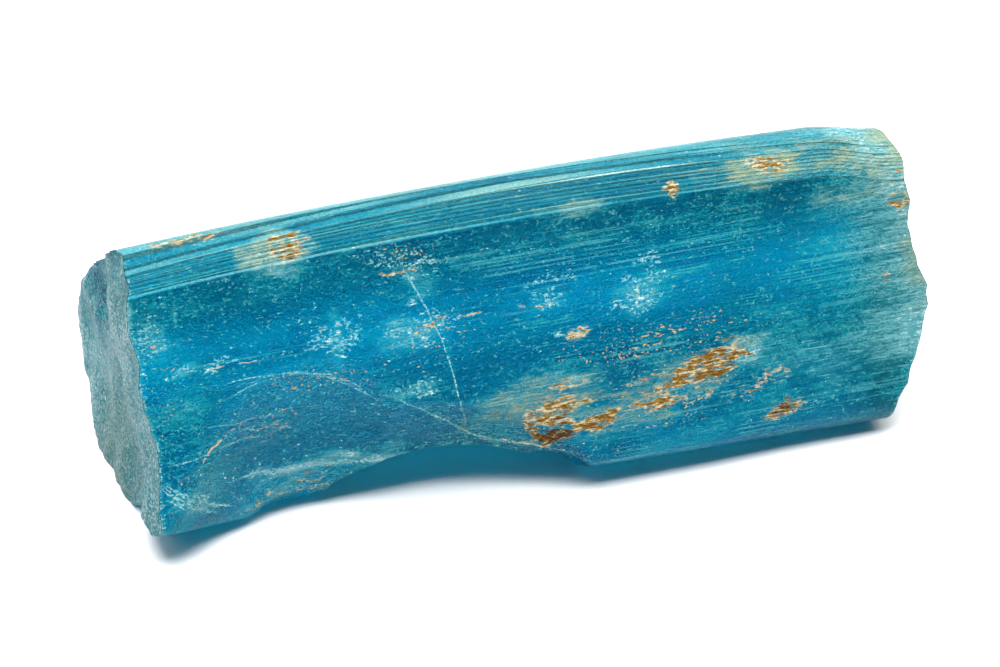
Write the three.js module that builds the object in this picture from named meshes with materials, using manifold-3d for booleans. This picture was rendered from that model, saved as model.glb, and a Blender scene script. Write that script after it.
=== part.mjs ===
// A blue tourmaline crystal: one rounded three-sided prism, about 46.8 mm long, broken at both
// ends and lying on a natural flat. X runs along the prism, Z is up, the flat is at z = 0, and
// the origin is the middle of the bounding box's base. Lengths are in millimetres.
//
// The section is drawn around an inner axis parallel to X. Each side face has the angle of its
// outward normal, measured from +Y towards +Z, and its distance from that axis. The faces meet
// in soft edges, except along the crest, where they meet in a stair of growth ledges.

import * as THREE from 'three';
import { mergeVertices } from 'three/addons/utils/BufferGeometryUtils.js';
import Module from 'manifold-3d';

// ---- Driving dimensions ----

const LEFT_STATION = -22.0;
const RIGHT_STATION = 23.0;
const AXIS_HEIGHT = 7.5;
const EDGE_SHARPNESS = 26;

// Side faces: normal angle and distance from the axis at the left and right stations, and how
// much further out the middle of the prism stands.
const FRONT = { angle: [152.3, 153.4], reach: [5.36, 4.98], bow: 0 };
const TOP = { angle: [101.0, 97.0], reach: [8.1, 7.9], bow: 0.8 };
const OTHER_FACES = [
  { name: 'top back', angle: [47.8, 47.8], reach: [6.42, 6.75], bow: 0.5, worn: true },
  { name: 'back', angle: [17.9, 17.9], reach: [6.95, 7.17], bow: 0 },
  { name: 'low back', angle: [-40.6, -40.6], reach: [8.85, 8.68], bow: 0 },
  { name: 'base', angle: [-90.0, -90.0], reach: [7.75, 7.75], bow: 0 },
  { name: 'low front', angle: [233.0, 228.4], reach: [8.95, 10.3], bow: 0 },
];

// The crest is worn lower over the last few millimetres of the right end.
const WEAR_DEPTH = 0.5;
const WEAR_FROM = 18.5;

// Growth ledges from the crest down to the front face: the height of each riser and the width
// of the tread below it, at the left, middle and right of the prism.
const LEDGES = [
  { riser: [0.37, 0.09, 0.12], tread: [0.52, 0.38, 0.30] },
  { riser: [0.16, 0.18, 0.20], tread: [0.30, 0.54, 0.34] },
  { riser: [0.14, 0.12, 0.14], tread: [0.14, 0.12, 0.14] },
  { riser: [0.05, 0.14, 0.12], tread: [0.05, 0.13, 0.14] },
  { riser: [0.05, 0.16, 0.12], tread: [0.04, 0.11, 0.10] },
  { riser: [0.10, 0.15, 0.13], tread: [0.18, 0.13, 0.13] },
  { riser: [0.15, 0.14, 0.14], tread: [0.17, 0.13, 0.11] },
  { riser: [0.05, 0.18, 0.11], tread: [0.04, 0.08, 0.11] },
  { riser: [0.10, 0.20, 0.12], tread: [0.22, 0.17, 0.13] },
];

// Shallow growth grooves along the back faces: angle on the section, half width in degrees and
// depth.
const BACK_GROOVES = [
  { angle: 66, half: 2.4, depth: 0.14 },
  { angle: 52, half: 3.2, depth: 0.10 },
  { angle: 36, half: 2.6, depth: 0.16 },
  { angle: 20, half: 3.6, depth: 0.12 },
  { angle: 4, half: 2.8, depth: 0.15 },
  { angle: -12, half: 3.4, depth: 0.10 },
];

// Pieces broken away, each the inside of an ellipsoid: centre, radii and turn about X.
const SCARS = [
  { name: 'upper lobe of the front spall', centre: [-12.2, -19.1, 8.3], radii: [12.4, 14, 20], turn: 8 },
  { name: 'long facet of the front spall', centre: [-8.6, -35.8, 3.6], radii: [30, 30, 26], turn: 0 },
  { name: 'bevel above the left foot', centre: [-12.9, -15.1, -5.6], radii: [7.6, 12, 12], turn: 0 },
  { name: 'undercut below the spall', centre: [-4.6, -6.2, -2.6], radii: [8.8, 5.6, 5.9], turn: 0 },
  { name: 'right end of the undercut', centre: [0.6, -8.6, -1.2], radii: [3.6, 3.2, 4.3], turn: 0 },
  { name: 'chip on the left front edge', centre: [-21.3, -5.6, 12.6], radii: [2.1, 1.5, 2.4], turn: 0 },
  { name: 'flake behind the left crest', centre: [-22.0, 1.9, 17.6], radii: [6.5, 1.7, 2.1], turn: -20 },
  { name: 'pit in the front face', centre: [13.2, -6.9, 6.9], radii: [0.9, 0.8, 0.5], turn: 27 },
  { name: 'pocket by the big stain', centre: [1.6, -8.3, 3.9], radii: [1.6, 0.9, 0.7], turn: 27 },
  { name: 'scar low on the right front', centre: [15.0, -9.2, 2.3], radii: [1.7, 0.9, 0.8], turn: 0 },
  { name: 'flake on the back', centre: [8.5, 11.4, 9.6], radii: [5.2, 4.4, 3.8], turn: 0 },
  { name: 'flake low on the back', centre: [-13.0, 10.6, 1.2], radii: [4.4, 3.6, 2.6], turn: 0 },
  { name: 'chip on the right crest', centre: [24.2, 2.8, 16.2], radii: [2.6, 2.4, 2.0], turn: 0 },
];

// The broken right end: how far its surface stands beyond the right station at each height.
const RIGHT_RIM = [
  [0.0, -2.4], [1.0, -1.9], [2.4, -1.3], [3.2, -0.7], [4.6, -0.1], [5.8, 0.6], [7.0, 1.1],
  [8.0, 1.2], [10.0, 0.4], [12.5, 0.6], [14.0, 0.5], [15.4, 0.3], [16.2, -0.6],
];

// ---- Small helpers ----

const RADIAN = Math.PI / 180;

function mix(a, b, t) {
  return a + (b - a) * t;
}

function ease(from, to, value) {
  return THREE.MathUtils.smoothstep((value - from) / (to - from), 0, 1);
}

function mixThree([left, middle, right], t) {
  return t < 0.5 ? mix(left, middle, 2 * t) : mix(middle, right, 2 * t - 1);
}

function along(x) {
  return (x - LEFT_STATION) / (RIGHT_STATION - LEFT_STATION);
}

function throughPoints(points, at) {
  const next = points.findIndex(([key]) => key > at);
  if (next === 0) return points[0][1];
  if (next < 0) return points[points.length - 1][1];
  const [a, b] = [points[next - 1], points[next]];
  return mix(a[1], b[1], (at - a[0]) / (b[0] - a[0]));
}

// ---- The prism's section ----

function faceAt(face, x) {
  const t = along(x);
  return {
    angle: mix(face.angle[0], face.angle[1], t) * RADIAN,
    reach: mix(face.reach[0], face.reach[1], t) + face.bow * 4 * t * (1 - t),
  };
}

function wearAt(x) {
  return WEAR_DEPTH * ease(WEAR_FROM, RIGHT_STATION, x);
}

// The stair between the front face and the top face, from the crest down: each step is the
// corner of a riser parallel to the front face and a tread parallel to the top face.
function stairAt(x) {
  const front = faceAt(FRONT, x);
  const top = faceAt(TOP, x);
  const lean = Math.sin(front.angle - top.angle);
  const risers = LEDGES.map((ledge) => mixThree(ledge.riser, along(x)) * lean);
  const treads = LEDGES.map((ledge) => mixThree(ledge.tread, along(x)) * lean);
  let riserReach = front.reach - treads.reduce((sum, tread) => sum + tread, 0);
  let treadReach = top.reach - wearAt(x);
  const steps = [{ riserReach, treadReach }];
  LEDGES.forEach((ledge, i) => {
    riserReach += treads[i];
    treadReach -= risers[i];
    steps.push({ riserReach, treadReach });
  });
  return { front, top, steps };
}

// Where a riser's plane and a tread's plane cross, as an angle around the inner axis.
function cornerAngle({ front, top }, riserReach, treadReach) {
  const up = riserReach * Math.cos(top.angle) - treadReach * Math.cos(front.angle);
  const across = treadReach * Math.sin(front.angle) - riserReach * Math.sin(top.angle);
  return Math.atan2(up, across);
}

// Outer and inner corners of the stair, in order of growing angle.
function stairAngles(stair) {
  const angles = [];
  stair.steps.forEach((step, i) => {
    angles.push(cornerAngle(stair, step.riserReach, step.treadReach));
    const below = stair.steps[i + 1];
    if (below) angles.push(cornerAngle(stair, step.riserReach, below.treadReach));
  });
  return angles;
}

function stairReach(stair, angle) {
  const riserFall = Math.cos(angle - stair.front.angle);
  const treadFall = Math.cos(angle - stair.top.angle);
  const reaches = stair.steps.map((step) => {
    const riser = riserFall > 0 ? step.riserReach / riserFall : Infinity;
    const tread = treadFall > 0 ? step.treadReach / treadFall : Infinity;
    return Math.min(riser, tread);
  });
  return Math.max(...reaches);
}

function grooveDepth(angle) {
  const turned = Math.atan2(Math.sin(angle), Math.cos(angle)) / RADIAN;
  return BACK_GROOVES.reduce((deepest, groove) => {
    const off = Math.abs(turned - groove.angle) / groove.half;
    return Math.max(deepest, groove.depth * (1 - ease(0.55, 1, off)));
  }, 0);
}

function reachAt(stair, faces, angle) {
  const inverse = faces.reduce((sum, face) => {
    return sum + Math.max(Math.cos(angle - face.angle) / face.reach, 0) ** EDGE_SHARPNESS;
  }, stairReach(stair, angle) ** -EDGE_SHARPNESS);
  return inverse ** (-1 / EDGE_SHARPNESS) - grooveDepth(angle);
}

// One closed ring of points at a station along X, anticlockwise as seen from +X.
const CREST_ANGLES = [76, 82, 88, 94];
const FACE_ANGLE_FROM = 118;
const FACE_ANGLE_TO = 430;
const FACE_ANGLE_STEPS = 78;

function ringAt(x) {
  const stair = stairAt(x);
  const faces = OTHER_FACES.map((face) => {
    const { angle, reach } = faceAt(face, x);
    return { angle, reach: face.worn ? reach - wearAt(x) : reach };
  });
  const angles = CREST_ANGLES.map((angle) => angle * RADIAN);
  angles.push(...stairAngles(stair));
  for (let i = 0; i < FACE_ANGLE_STEPS; i += 1) {
    angles.push(mix(FACE_ANGLE_FROM, FACE_ANGLE_TO, i / (FACE_ANGLE_STEPS - 1)) * RADIAN);
  }
  return angles.map((angle) => {
    const reach = reachAt(stair, faces, angle);
    return [x, reach * Math.cos(angle), AXIS_HEIGHT + reach * Math.sin(angle)];
  });
}

// ---- Solids ----

function geometryFrom(points, triangles) {
  const geometry = new THREE.BufferGeometry();
  geometry.setAttribute('position', new THREE.Float32BufferAttribute(points.flat(), 3));
  geometry.setIndex(triangles.flat());
  return geometry;
}

// The unbroken prism, a little too long at both ends.
const OVERLENGTH = 4;
const STATION_STEP = 2.25;

function prismGeometry() {
  const from = LEFT_STATION - OVERLENGTH;
  const to = RIGHT_STATION + OVERLENGTH;
  const stations = Math.round((to - from) / STATION_STEP);
  const rings = [];
  for (let i = 0; i <= stations; i += 1) rings.push(ringAt(mix(from, to, i / stations)));
  const around = rings[0].length;
  const points = rings.flat();
  const triangles = [];
  for (let i = 0; i < stations; i += 1) {
    for (let j = 0; j < around; j += 1) {
      const a = i * around + j;
      const b = i * around + (j + 1) % around;
      triangles.push([a, b, b + around], [a, b + around, a + around]);
    }
  }
  const leftMiddle = points.push([from, 0, AXIS_HEIGHT]) - 1;
  const rightMiddle = points.push([to, 0, AXIS_HEIGHT]) - 1;
  for (let j = 0; j < around; j += 1) {
    const next = (j + 1) % around;
    triangles.push([leftMiddle, next, j]);
    triangles.push([rightMiddle, stations * around + j, stations * around + next]);
  }
  return geometryFrom(points, triangles);
}

// Break surfaces, x over (y, z). The left one is a fibrous, tilted break with the block behind
// the crest set back; the right one swells in the middle and falls away below.
function leftBreak(y, z) {
  const tilt = -21.6 - 0.12 * y;
  const swell = -0.75 * ease(4.5, 0.8, z) * Math.exp(-(((y - 0.5) / 6) ** 2));
  const toe = -0.7 * ease(6.5, 2.5, z) * ease(-3.5, -6.5, y);
  const crestSetBack = 0.8 * ease(12.5, 16.5, z) * ease(2.0, -0.5, y);
  const backSetBack = 0.75 * ease(9.0, 11.0, z) * ease(0.9, 1.7, y);
  const waves = 0.06 * Math.sin(2.3 * y + 0.35 * z) + 0.08 * Math.sin(1.2 * y - 0.8 * z + 1);
  return tilt + swell + toe + crestSetBack + backSetBack + waves;
}

function rightBreak(y, z) {
  const towardsFront = THREE.MathUtils.clamp(1 - (y + 8) / 20, 0.2, 1);
  const rim = throughPoints(RIGHT_RIM, z) * towardsFront;
  const waves = 0.22 * Math.sin(0.9 * y + 0.5) * Math.sin(0.7 * z) + 0.10 * Math.sin(2.4 * z + 1.1 * y);
  return RIGHT_STATION + rim + waves * ease(-7.0, -3.0, y);
}

// A closed block whose inner face is a break surface and whose outer face is flat and clear of
// the prism.
const BREAK_Y = [-11, 11];
const BREAK_Z = [-1.5, 19];
const BREAK_COLUMNS = 30;
const BREAK_ROWS = 24;

function breakGeometry(surface, outerX) {
  const points = [];
  const stride = BREAK_COLUMNS + 1;
  const sheet = stride * (BREAK_ROWS + 1);
  for (const side of ['inner', 'outer']) {
    for (let row = 0; row <= BREAK_ROWS; row += 1) {
      for (let column = 0; column <= BREAK_COLUMNS; column += 1) {
        const y = mix(BREAK_Y[0], BREAK_Y[1], column / BREAK_COLUMNS);
        const z = mix(BREAK_Z[0], BREAK_Z[1], row / BREAK_ROWS);
        points.push([side === 'inner' ? surface(y, z) : outerX, y, z]);
      }
    }
  }
  const triangles = [];
  const outerIsLeft = outerX < 0;
  const quad = (a, b, c, d) => {
    if (outerIsLeft) triangles.push([a, b, c], [a, c, d]);
    else triangles.push([a, c, b], [a, d, c]);
  };
  for (let row = 0; row < BREAK_ROWS; row += 1) {
    for (let column = 0; column < BREAK_COLUMNS; column += 1) {
      const a = row * stride + column;
      quad(a, a + 1, a + 1 + stride, a + stride);
      quad(sheet + a, sheet + a + stride, sheet + a + 1 + stride, sheet + a + 1);
    }
  }
  for (let column = 0; column < BREAK_COLUMNS; column += 1) {
    const high = BREAK_ROWS * stride + column;
    quad(column, sheet + column, sheet + column + 1, column + 1);
    quad(high + 1, sheet + high + 1, sheet + high, high);
  }
  for (let row = 0; row < BREAK_ROWS; row += 1) {
    const a = row * stride;
    const b = a + BREAK_COLUMNS;
    quad(a + stride, sheet + a + stride, sheet + a, a);
    quad(b, sheet + b, sheet + b + stride, b + stride);
  }
  return geometryFrom(points, triangles);
}

const SCAR_SEGMENTS = [56, 40];

function scarGeometry({ centre, radii, turn }) {
  const geometry = new THREE.SphereGeometry(1, ...SCAR_SEGMENTS);
  geometry.scale(...radii);
  geometry.rotateX(turn * RADIAN);
  geometry.translate(...centre);
  return geometry;
}

// Everything below the resting flat.
function underFlatGeometry() {
  const size = 80;
  return new THREE.BoxGeometry(size, size, size).translate(0, 0, -size / 2);
}

// ---- Joining and cutting ----

const wasm = await Module();
wasm.setup();

function solidFrom(source) {
  const geometry = source.clone();
  geometry.deleteAttribute('normal');
  geometry.deleteAttribute('uv');
  const merged = mergeVertices(geometry, 1e-5);
  return new wasm.Manifold(new wasm.Mesh({
    numProp: 3,
    vertProperties: new Float32Array(merged.attributes.position.array),
    triVerts: new Uint32Array(merged.index.array),
  }));
}

function geometryOf(solid) {
  const mesh = solid.getMesh();
  const geometry = new THREE.BufferGeometry();
  geometry.setAttribute('position', new THREE.BufferAttribute(mesh.vertProperties, 3));
  geometry.setIndex(new THREE.BufferAttribute(mesh.triVerts, 1));
  geometry.computeVertexNormals();
  return geometry;
}

const CLEARANCE = 8;

function crystalGeometry() {
  const cuts = [
    breakGeometry(leftBreak, LEFT_STATION - CLEARANCE),
    breakGeometry(rightBreak, RIGHT_STATION + CLEARANCE),
    underFlatGeometry(),
    ...SCARS.map(scarGeometry),
  ];
  const solid = cuts.reduce((left, cut) => left.subtract(solidFrom(cut)), solidFrom(prismGeometry()));
  const geometry = geometryOf(solid);
  geometry.computeBoundingBox();
  const { min, max } = geometry.boundingBox;
  return geometry.translate(-(min.x + max.x) / 2, -(min.y + max.y) / 2, 0);
}

const tourmaline = new THREE.MeshStandardMaterial({
  color: new THREE.Color(0.0, 0.29, 0.42),
  roughness: 0.25,
  metalness: 0,
});

const crystal = new THREE.Mesh(crystalGeometry(), tourmaline);
crystal.name = 'crystal';

const specimen = new THREE.Group();
specimen.add(crystal);

export default specimen;
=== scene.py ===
"""A blue tourmaline crystal lying on a white studio table.

One piece stands for the crystal: a fine mesh of the same prism as the model, with its crest of
growth ledges, its two broken ends and the places where pieces have split away. Lengths in the
form are in millimetres, as crystals are measured, and become metres when the mesh is made.
"""

import itertools
import math
from types import SimpleNamespace

import bpy
import numpy as np
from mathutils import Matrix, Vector


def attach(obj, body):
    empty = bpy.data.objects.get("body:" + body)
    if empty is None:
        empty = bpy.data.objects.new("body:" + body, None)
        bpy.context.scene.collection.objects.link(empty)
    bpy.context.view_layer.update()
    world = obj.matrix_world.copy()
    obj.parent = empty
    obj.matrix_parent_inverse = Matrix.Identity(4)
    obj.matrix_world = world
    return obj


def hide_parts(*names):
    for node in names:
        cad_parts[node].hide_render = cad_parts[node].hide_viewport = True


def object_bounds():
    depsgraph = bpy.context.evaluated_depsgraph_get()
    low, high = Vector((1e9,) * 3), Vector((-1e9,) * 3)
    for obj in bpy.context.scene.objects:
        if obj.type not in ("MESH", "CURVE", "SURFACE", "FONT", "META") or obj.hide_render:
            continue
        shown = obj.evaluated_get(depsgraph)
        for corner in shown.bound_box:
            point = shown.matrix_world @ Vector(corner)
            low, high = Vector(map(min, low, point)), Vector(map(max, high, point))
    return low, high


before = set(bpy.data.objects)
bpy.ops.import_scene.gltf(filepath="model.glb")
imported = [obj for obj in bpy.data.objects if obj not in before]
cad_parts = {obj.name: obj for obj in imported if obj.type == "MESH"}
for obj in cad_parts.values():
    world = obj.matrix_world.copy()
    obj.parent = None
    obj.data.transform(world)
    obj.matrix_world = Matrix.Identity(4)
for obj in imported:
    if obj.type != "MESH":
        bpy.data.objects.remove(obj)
cad_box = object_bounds()

MM = 0.001
SEED = 7


# ---------------------------------------------------------------------------------------------
# Camera
# ---------------------------------------------------------------------------------------------

def place_camera():
    """A long lens that looks down on the crystal from the front, slightly left of its middle."""
    azimuth, elevation = math.radians(-15.8), math.radians(39.0)
    distance, aim = 0.190, Vector((-0.36, 0.05, 5.5)) * MM
    back = Vector((math.sin(azimuth) * math.cos(elevation),
                   -math.cos(azimuth) * math.cos(elevation),
                   math.sin(elevation)))
    lens = bpy.data.cameras.new("camera")
    lens.lens, lens.sensor_width = 120, 36
    lens.clip_start, lens.clip_end = 0.01, 20
    camera = bpy.data.objects.new("camera", lens)
    camera.location = aim + back * distance
    camera.rotation_euler = (-back).to_track_quat("-Z", "Y").to_euler()
    bpy.context.collection.objects.link(camera)
    bpy.context.scene.camera = camera


# ---------------------------------------------------------------------------------------------
# The crystal's form: X along the prism, Z up, the flat it lies on at z = 0
# ---------------------------------------------------------------------------------------------

# The section is drawn round an inner axis parallel to X. Each side face has the angle of its
# outward normal, from +Y towards +Z, and its distance from that axis, at the left and the right
# station, and how much further out it stands halfway.
LEFT_STATION, RIGHT_STATION = -22.0, 23.0
AXIS_HEIGHT = 7.5
EDGE_SHARPNESS = 26           # how tightly the faces round into each other
FRONT = ((152.3, 153.4), (5.36, 4.98), 0.0)
TOP = ((101.0, 97.0), (8.1, 7.9), 0.8)
TOP_BACK = ((47.8, 47.8), (6.42, 6.75), 0.5)
BACK = ((17.9, 17.9), (6.95, 7.17), 0.0)
LOW_BACK = ((-40.6, -40.6), (8.85, 8.68), 0.0)
BASE = ((-90.0, -90.0), (7.75, 7.75), 0.0)
LOW_FRONT = ((233.0, 228.4), (8.95, 10.3), 0.0)
WEAR_DEPTH, WEAR_FROM = 0.5, 18.5
LEDGES_WEAR_FROM, LEDGES_GONE_AT = 9.0, 16.5
LEVELLED_COLUMNS = 4          # how far to each side a worn ledge is evened out

# Growth ledges from the crest down to the front face: height of the riser and width of the
# tread, at the left, middle and right of the prism. Each has a finer ledge at its foot.
LEDGES = (
    ((0.37, 0.09, 0.12), (0.52, 0.38, 0.30)),
    ((0.16, 0.18, 0.20), (0.30, 0.54, 0.34)),
    ((0.14, 0.12, 0.14), (0.14, 0.12, 0.14)),
    ((0.05, 0.14, 0.12), (0.05, 0.13, 0.14)),
    ((0.05, 0.16, 0.12), (0.04, 0.11, 0.10)),
    ((0.10, 0.15, 0.13), (0.18, 0.13, 0.13)),
    ((0.15, 0.14, 0.14), (0.17, 0.13, 0.11)),
    ((0.05, 0.18, 0.11), (0.04, 0.08, 0.11)),
    ((0.10, 0.20, 0.12), (0.22, 0.17, 0.13)),
)
FINE_LEDGES = 2

# Grooves along the back faces: angle, half width in degrees, depth.
BACK_GROOVES = (
    (66, 2.4, 0.14), (52, 3.2, 0.10), (36, 2.6, 0.16),
    (20, 3.6, 0.12), (4, 2.8, 0.15), (-12, 3.4, 0.10),
)

# Pieces split away, each the inside of an ellipsoid: centre, radii, turn about X in degrees, and
# how wide its border is rounded over.
SCARS = {
    "upper lobe of the front spall": ((-12.2, -19.1, 8.3), (12.4, 14, 20), 8, 0.9),
    "long facet of the front spall": ((-8.6, -35.8, 3.6), (30, 30, 26), 0, 0.06),
    "bevel above the left foot": ((-12.9, -15.1, -5.6), (7.6, 12, 12), 0, 0.10),
    "undercut below the spall": ((-4.6, -6.2, -2.6), (8.8, 5.6, 5.9), 0, 0.10),
    "right end of the undercut": ((0.6, -8.6, -1.2), (3.6, 3.2, 4.3), 0, 0.10),
    "chip on the left front edge": ((-21.3, -5.6, 12.6), (2.1, 1.5, 2.4), 0, 0.10),
    "worn corner of the left foot": ((-23.0, -6.4, -0.6), (2.5, 4.4, 3.1), 0, 0.10),
    "flake behind the left crest": ((-22.0, 1.9, 17.6), (6.5, 1.7, 2.1), -20, 0.05),
    "pit in the front face": ((13.2, -6.9, 6.9), (0.9, 0.8, 0.5), 27, 0.05),
    "pocket by the big stain": ((1.6, -8.3, 3.9), (1.6, 0.9, 0.7), 27, 0.10),
    "scar low on the right front": ((15.0, -9.2, 2.3), (1.7, 0.9, 0.8), 0, 0.10),
    "flake on the back": ((8.5, 11.4, 9.6), (5.2, 4.4, 3.8), 0, 0.10),
    "flake low on the back": ((-13.0, 10.6, 1.2), (4.4, 3.6, 2.6), 0, 0.10),
    "chip on the right crest": ((24.2, 2.8, 16.2), (2.6, 2.4, 2.0), 0, 0.10),
}

# How far the right break stands past the right station at each height.
RIGHT_RIM_HEIGHTS = (0.0, 1.0, 2.4, 3.2, 4.6, 5.8, 7.0, 8.0, 10.0, 12.5, 14.0, 15.4, 16.2)
RIGHT_RIM_REACH = (-2.4, -1.9, -1.3, -0.7, -0.1, 0.6, 1.1, 1.2, 0.4, 0.6, 0.5, 0.3, -0.6)

# The mesh: rows along the prism, and columns round it in four equal runs, so that each broken
# end closes with a square grid of the same run.
ROWS = 206
RUN = 82
CREST_COLUMNS, BASE_COLUMNS = 16, 26
CREST_FROM, FRONT_TO, BASE_TO = 74.0, 236.0, 310.0     # degrees round the axis
STAIR_COLUMNS = 2 * len(LEDGES) * FINE_LEDGES + 1
REAR_STRIP = 0.55             # share of the crest, at the left end, that slopes back and stays clear
SETTLING_PASSES = 6           # how often the rows are fitted between the two breaks
EVENING_PASSES = 300          # how often an end's grid is evened out
FAR = 1e3                     # a reach past everything


def ease(low, high, value):
    """0 below low, 1 above high and smooth between."""
    t = np.clip((value - low) / (high - low), 0, 1)
    return t * t * (3 - 2 * t)


def field(points, size, seed):
    """Smooth random values from -1 to 1 whose lumps have the given size along X, Y and Z."""
    rng = np.random.default_rng(seed)
    shuffle = rng.permutation(256)
    heights = rng.uniform(-1, 1, 256)
    at = np.asarray(points) / np.asarray(size, float)
    cell = np.floor(at).astype(int)
    part = at - cell
    part = part * part * (3 - 2 * part)
    total = np.zeros(at.shape[:-1])
    for corner in itertools.product((0, 1), repeat=3):
        i, j, k = np.moveaxis(cell + corner, -1, 0) & 255
        height = heights[shuffle[(shuffle[(shuffle[i] + j) & 255] + k) & 255]]
        weight = np.where(corner, part, 1 - part).prod(-1)
        total += weight * height
    return total


def along(x):
    """Share of the way from the left station to the right one."""
    return (x - LEFT_STATION) / (RIGHT_STATION - LEFT_STATION)


def wear(x):
    """How far the crest is worn down at each x."""
    return WEAR_DEPTH * ease(WEAR_FROM, RIGHT_STATION, x)


def face_at(face, x):
    """Angle and reach of a side face at each x."""
    angles, reaches, bow = face
    t = along(x)
    angle = np.radians(angles[0] + (angles[1] - angles[0]) * t)
    return angle, reaches[0] + (reaches[1] - reaches[0]) * t + bow * 4 * t * (1 - t)


def fine_sizes(x, sizes, seed):
    """Each ledge's size at each x, split into fine parts whose shares drift along the prism."""
    rng = np.random.default_rng(seed)
    shape = (len(sizes), FINE_LEDGES)
    drift = rng.uniform(0.12, 0.55, shape)
    start = rng.uniform(0, 2 * math.pi, shape)
    share = rng.uniform(0.0, 0.3, shape) + 0.2 * np.sin(x[..., None, None] * drift + start)
    share[..., 0] += 1.0
    share = np.maximum(share, 0.05)
    share /= share.sum(-1, keepdims=True)
    t = along(x)[..., None]
    left, middle, right = np.array(sizes).T
    size = np.where(t < 0.5, left + (middle - left) * 2 * t, middle + (right - middle) * (2 * t - 1))
    return (share * size[..., None]).reshape(*x.shape, -1)


def stair_at(x):
    """The stair of growth ledges: angles of its risers and treads, and every one's reach."""
    front, front_reach = face_at(FRONT, x)
    top, top_reach = face_at(TOP, x)
    lean = np.sin(front - top)[..., None]
    risers = fine_sizes(x, [riser for riser, tread in LEDGES], 11) * lean
    treads = fine_sizes(x, [tread for riser, tread in LEDGES], 12) * lean
    start = np.zeros(x.shape + (1,))
    first_riser = front_reach[..., None] - treads.sum(-1, keepdims=True)
    riser_reach = first_riser + np.concatenate([start, np.cumsum(treads, -1)], -1)
    tread_reach = (top_reach - wear(x))[..., None] - np.concatenate([start, np.cumsum(risers, -1)], -1)
    return front, top, riser_reach, tread_reach


def stair_corners(x):
    """Angles of the stair's outer and inner corners, from the crest down."""
    front, top, riser, tread = stair_at(x)
    front, top = front[..., None], top[..., None]

    def crossing(r, t):
        return np.arctan2(r * np.cos(top) - t * np.cos(front), t * np.sin(front) - r * np.sin(top))

    outer = crossing(riser, tread)
    corners = np.empty(x.shape + (2 * outer.shape[-1] - 1,))
    corners[..., 0::2] = outer
    corners[..., 1::2] = crossing(riser[..., :-1], tread[..., 1:])
    return corners


def stair_reach(x, angle):
    """Distance from the axis to the stair along each spoke."""
    front, top, riser, tread = stair_at(x)
    riser_fall = np.cos(angle - front)[..., None]
    tread_fall = np.cos(angle - top)[..., None]
    to_riser = np.where(riser_fall > 1e-6, riser / np.maximum(riser_fall, 1e-6), FAR)
    to_tread = np.where(tread_fall > 1e-6, tread / np.maximum(tread_fall, 1e-6), FAR)
    return np.minimum(to_riser, to_tread).max(-1)


def groove_depth(angle):
    """How deep the grooves along the back are at each angle."""
    turned = np.degrees(np.arctan2(np.sin(angle), np.cos(angle)))
    depth = np.zeros_like(angle)
    for middle, half, deepest in BACK_GROOVES:
        depth = np.maximum(depth, deepest * (1 - ease(0.55, 1.0, np.abs(turned - middle) / half)))
    return depth


def prism_reach(x, angle):
    """Distance from the axis to the unbroken prism along each spoke."""
    inverse = stair_reach(x, angle) ** -EDGE_SHARPNESS
    for face in (TOP_BACK, BACK, LOW_BACK, BASE, LOW_FRONT):
        turned, reach = face_at(face, x)
        if face is TOP_BACK:
            reach = reach - wear(x)
        inverse = inverse + np.maximum(np.cos(angle - turned) / reach, 0) ** EDGE_SHARPNESS
    return inverse ** (-1 / EDGE_SHARPNESS) - groove_depth(angle)


def worn_down(x, reach):
    """Reach of the prism with its ledges worn level towards the right end."""
    level = sum(np.roll(reach, shift, 1) for shift in range(-LEVELLED_COLUMNS, LEVELLED_COLUMNS + 1))
    level = level / (2 * LEVELLED_COLUMNS + 1)
    return reach + (level - reach) * ease(LEDGES_WEAR_FROM, LEDGES_GONE_AT, x)


def scar_reach(scar, x, angle):
    """Distance from the axis to the first point inside an ellipsoid, along each spoke."""
    (across, back, up), radii, turn, border = scar
    c, s = math.cos(math.radians(turn)), math.sin(math.radians(turn))
    inward = (np.diag(1 / np.array(radii, float)) @ np.array([[1, 0, 0], [0, c, s], [0, -s, c]])).T
    start = np.stack([x - across, np.full_like(x, -back), np.full_like(x, AXIS_HEIGHT - up)], -1)
    spoke = np.stack([np.zeros_like(x), np.cos(angle), np.sin(angle)], -1)
    start, spoke = start @ inward, spoke @ inward
    a, b, outside = (spoke ** 2).sum(-1), (start * spoke).sum(-1), (start ** 2).sum(-1) - 1
    inside = b * b - a * outside
    reach = (-b - np.sqrt(np.maximum(inside, 0))) / a
    return np.where((inside > 0) & (reach > 0), reach, FAR)


def round_over(reach, split, border):
    """The nearer of two reaches, rounded over where they cross."""
    closeness = np.maximum(border - np.abs(reach - split), 0) / border
    return np.minimum(reach, split) - closeness ** 2 * border / 4


def left_break(y, z):
    """X of the left broken end: it leans, swells at its foot and is fibrous from top to base."""
    lean = -21.6 - 0.12 * y
    swell = -0.75 * ease(4.5, 0.8, z) * np.exp(-(((y - 0.5) / 6) ** 2))
    toe = -0.7 * ease(6.5, 2.5, z) * ease(-3.5, -6.5, y)
    crest_set_back = 0.8 * ease(12.5, 16.5, z) * ease(2.0, -0.5, y)
    back_set_back = 0.75 * ease(9.0, 11.0, z) * ease(0.9, 1.7, y)
    waves = 0.06 * np.sin(2.3 * y + 0.35 * z) + 0.08 * np.sin(1.2 * y - 0.8 * z + 1)
    place = np.stack([y * 0, y + 0.12 * z, z], -1)
    lumps = 0.10 * field(place, (1, 0.8, 1.6), SEED) + 0.06 * field(place, (1, 0.35, 0.6), SEED + 1)
    return lean + swell + toe + crest_set_back + back_set_back + waves + lumps


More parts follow.
